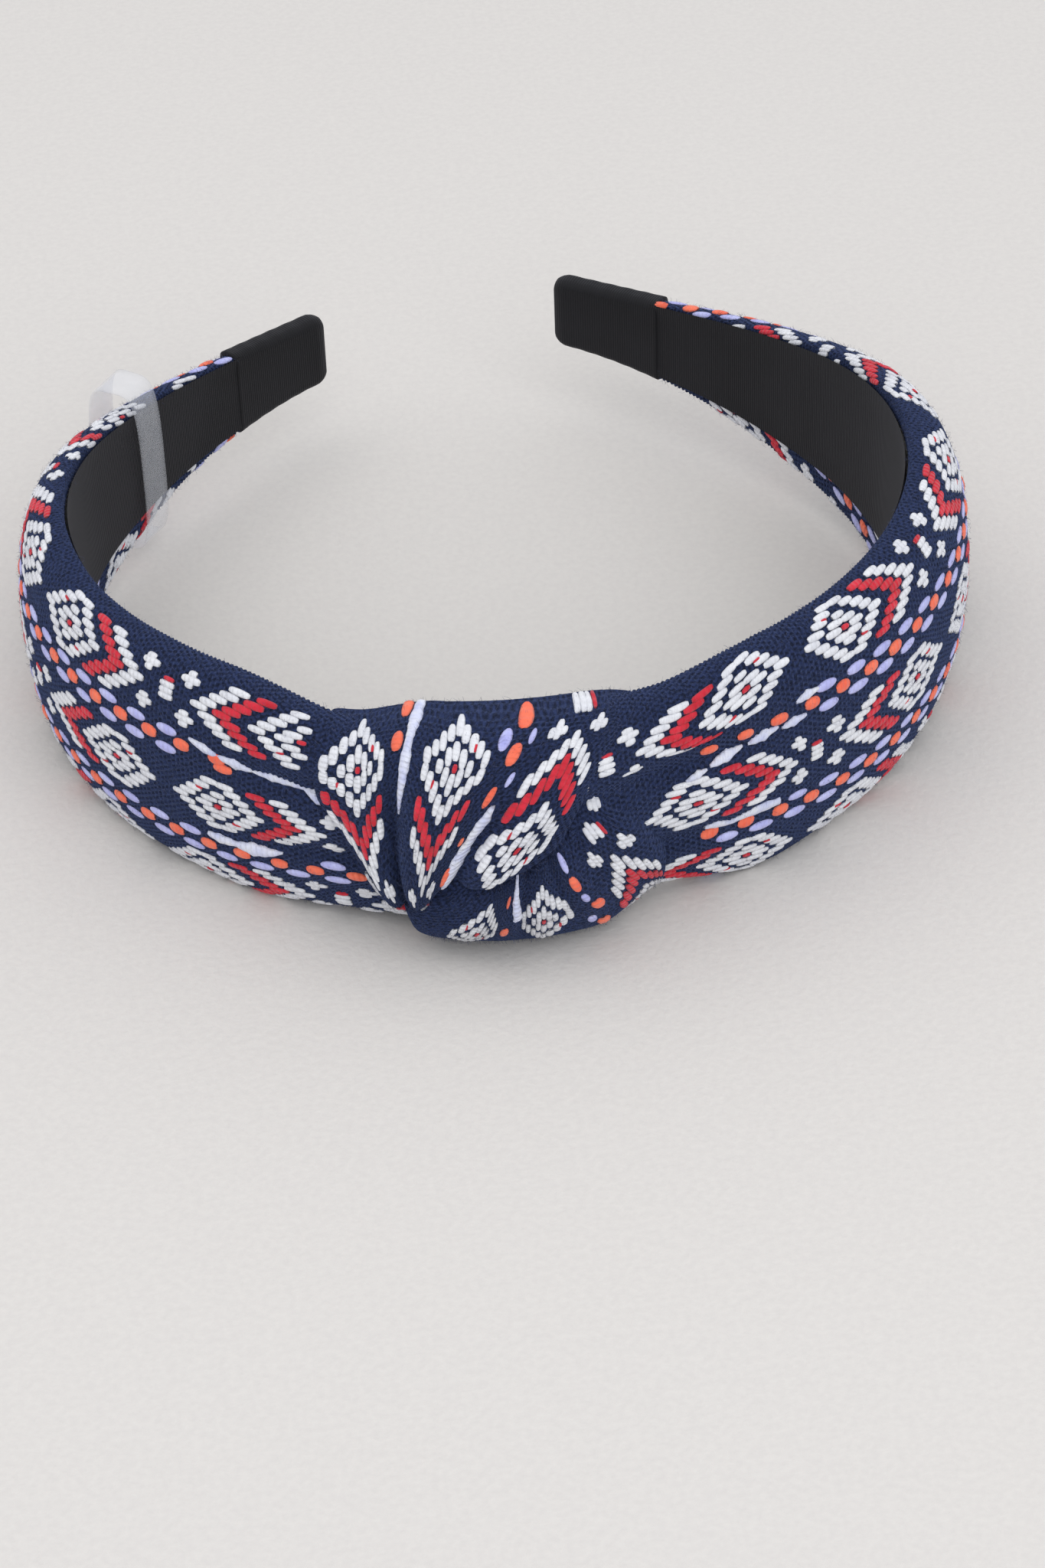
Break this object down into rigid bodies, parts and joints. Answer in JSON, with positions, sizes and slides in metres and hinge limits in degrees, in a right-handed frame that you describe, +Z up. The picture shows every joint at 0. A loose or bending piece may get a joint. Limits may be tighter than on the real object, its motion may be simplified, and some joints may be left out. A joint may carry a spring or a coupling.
{
  "type": "knotted headband",
  "caption": "Springy open hoop headband covered in patterned fabric, tied in a padded knot at the front, with ribbon-wrapped tips.",
  "frame": {"origin": "middle of the bounding box, on the surface that the headband stands on", "axes": "+Z up along the band's height, -Y towards the knot, +Y towards the open tips, +X to the viewer's right when the knot is seen from the front"},
  "size_m": [0.1482, 0.1482, 0.0388],
  "materials": {
    "patterned_fabric": "fine ribbed jacquard with raised white, red, orange and lavender floats",
    "black_ribbon": "black satin ribbon with a soft sheen",
    "foam": "soft open foam",
    "core_plastic": "plain springy plastic strip",
    "thread": "twisted sewing thread",
    "clear_film": "clear flexible strap"
  },
  "bodies": {
    "crown": {"core_crown": "core_plastic", "knot_flap": "patterned_fabric", "knot_roll": "patterned_fabric", "knot_back": "patterned_fabric", "tack_stitches": "thread", "lining_crown": "black_ribbon"},
    "arm_left": {"core_arm_left": "core_plastic", "foam_left": "foam", "cover_left": "patterned_fabric", "lining_left": "black_ribbon", "tip_wrap_left": "black_ribbon"},
    "arm_right": {"core_arm_right": "core_plastic", "foam_right": "foam", "cover_right": "patterned_fabric", "lining_right": "black_ribbon", "tip_wrap_right": "black_ribbon"},
    "tag_loop": {"tag_loop": "clear_film"}
  },
  "joints": [
    {"name": "arm_left_flex", "type": "hinge", "parent": "crown", "child": "arm_left", "pos_m": [-0.0287, -0.05465, 0.01895], "axis": [0, 0, 1], "range_deg": [-6, 12], "stiffness_Nm_per_rad": 1.2},
    {"name": "arm_right_flex", "type": "hinge", "parent": "crown", "child": "arm_right", "pos_m": [0.01811, -0.05844, 0.01895], "axis": [0, 0, -1], "range_deg": [-6, 12], "stiffness_Nm_per_rad": 1.2},
    {"name": "tag_loop_slide", "type": "slide", "parent": "arm_left", "child": "tag_loop", "axis": [0.5756, 0.8177, 0], "range_m": [-0.004, 0.008]}
  ]
}
